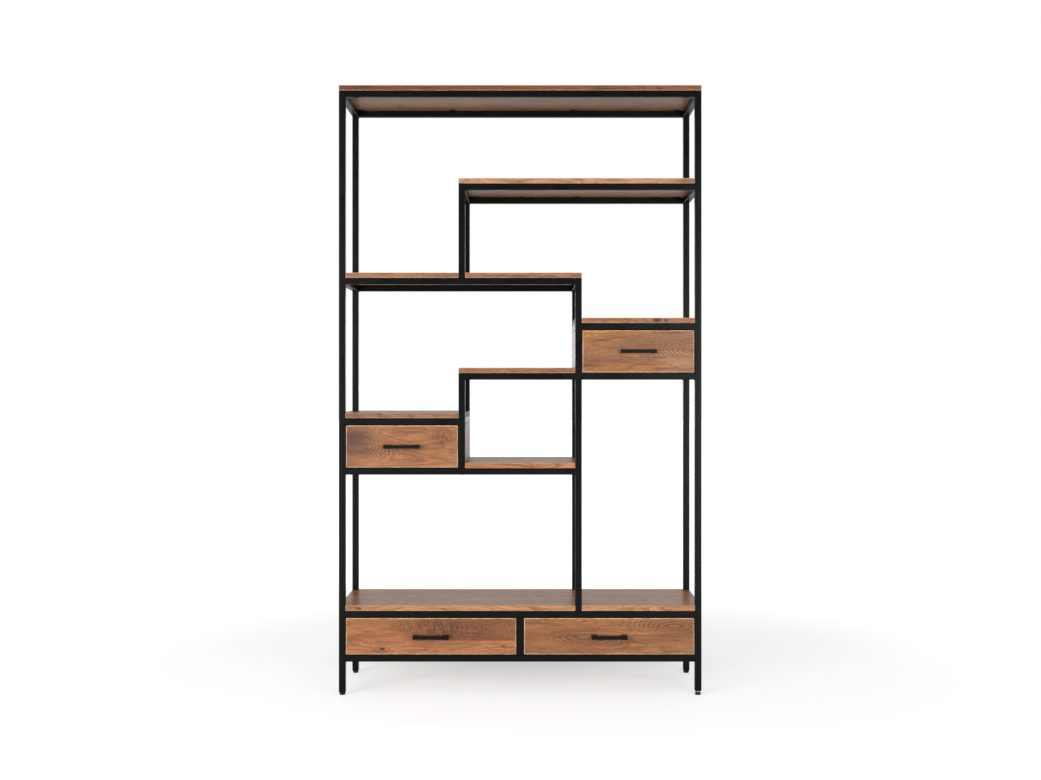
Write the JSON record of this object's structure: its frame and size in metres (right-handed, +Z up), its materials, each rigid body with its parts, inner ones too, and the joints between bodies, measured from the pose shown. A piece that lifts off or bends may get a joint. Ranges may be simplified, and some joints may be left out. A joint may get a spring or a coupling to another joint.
{
  "type": "open bookcase with drawers",
  "caption": "Tall open bookcase: a black square-tube steel frame with stepped fixed mango shelves, inset sliding drawers with bar pulls, and levelling feet.",
  "frame": {"origin": "middle of the footprint's bounding box on the floor, the drawer pulls included", "axes": "+Z up, +X to the right as seen from the front, -Y towards the front, where the pulls stand out"},
  "size_m": [1.1, 0.378, 1.85],
  "materials": {
    "frame_steel": "satin black powder coat",
    "pull_steel": "satin black powder coat",
    "shelf_mango": "oiled mango with a matt lacquer",
    "front_mango": "oiled mango with a matt lacquer, grain across the front",
    "panel_mango": "oiled mango with a matt lacquer",
    "box_mango": "sanded mango",
    "panel_plywood": "sanded plywood",
    "slide_black": "zinc plate, passivated black",
    "foot_plastic": "moulded black plastic on a zinc-plated stem"
  },
  "bodies": {
    "case": {"main_frame": "frame_steel", "right_shelf_frame": "frame_steel", "centre_frame": "frame_steel", "left_cell_frame": "frame_steel", "base_frame": "frame_steel", "top_board": "shelf_mango", "right_shelf": "shelf_mango", "left_shelf": "shelf_mango", "right_cell_lid": "shelf_mango", "middle_shelf": "shelf_mango", "left_cell_lid": "shelf_mango", "low_shelf": "shelf_mango", "bottom_shelf": "shelf_mango", "right_cell_outer_panel": "panel_mango", "right_cell_inner_panel": "panel_mango", "right_cell_back_panel": "panel_plywood", "right_cell_runner_left": "slide_black", "right_cell_runner_right": "slide_black", "left_cell_outer_panel": "panel_mango", "left_cell_inner_panel": "panel_mango", "left_cell_back_panel": "panel_plywood", "left_cell_runner_left": "slide_black", "left_cell_runner_right": "slide_black", "base_left_outer_panel": "panel_mango", "base_left_back_panel": "panel_plywood", "base_left_runner_left": "slide_black", "base_left_runner_right": "slide_black", "base_right_outer_panel": "panel_mango", "base_right_back_panel": "panel_plywood", "base_right_runner_left": "slide_black", "base_right_runner_right": "slide_black"},
    "right_cell_drawer": {"right_cell_drawer_front": "front_mango", "right_cell_drawer_box": "box_mango", "right_cell_drawer_bottom": "panel_plywood", "right_cell_drawer_pull": "pull_steel", "right_cell_slider_left": "slide_black", "right_cell_slider_right": "slide_black"},
    "left_cell_drawer": {"left_cell_drawer_front": "front_mango", "left_cell_drawer_box": "box_mango", "left_cell_drawer_bottom": "panel_plywood", "left_cell_drawer_pull": "pull_steel", "left_cell_slider_left": "slide_black", "left_cell_slider_right": "slide_black"},
    "base_left_drawer": {"base_left_drawer_front": "front_mango", "base_left_drawer_box": "box_mango", "base_left_drawer_bottom": "panel_plywood", "base_left_drawer_pull": "pull_steel", "base_left_slider_left": "slide_black", "base_left_slider_right": "slide_black"},
    "base_right_drawer": {"base_right_drawer_front": "front_mango", "base_right_drawer_box": "box_mango", "base_right_drawer_bottom": "panel_plywood", "base_right_drawer_pull": "pull_steel", "base_right_slider_left": "slide_black", "base_right_slider_right": "slide_black"},
    "foot_front_left": {"foot_front_left": "foot_plastic"},
    "foot_front_right": {"foot_front_right": "foot_plastic"},
    "foot_rear_left": {"foot_rear_left": "foot_plastic"},
    "foot_rear_right": {"foot_rear_right": "foot_plastic"}
  },
  "joints": [
    {"name": "right_cell_drawer_slide", "type": "slide", "parent": "case", "child": "right_cell_drawer", "axis": [0, -1, 0], "range_m": [0, 0.22]},
    {"name": "left_cell_drawer_slide", "type": "slide", "parent": "case", "child": "left_cell_drawer", "axis": [0, -1, 0], "range_m": [0, 0.22]},
    {"name": "base_left_drawer_slide", "type": "slide", "parent": "case", "child": "base_left_drawer", "axis": [0, -1, 0], "range_m": [0, 0.22]},
    {"name": "base_right_drawer_slide", "type": "slide", "parent": "case", "child": "base_right_drawer", "axis": [0, -1, 0], "range_m": [0, 0.22]},
    {"name": "foot_front_left_screw", "type": "slide", "parent": "case", "child": "foot_front_left", "axis": [0, 0, -1], "range_m": [0, 0.012]},
    {"name": "foot_front_right_screw", "type": "slide", "parent": "case", "child": "foot_front_right", "axis": [0, 0, -1], "range_m": [0, 0.012]},
    {"name": "foot_rear_left_screw", "type": "slide", "parent": "case", "child": "foot_rear_left", "axis": [0, 0, -1], "range_m": [0, 0.012]},
    {"name": "foot_rear_right_screw", "type": "slide", "parent": "case", "child": "foot_rear_right", "axis": [0, 0, -1], "range_m": [0, 0.012]}
  ]
}
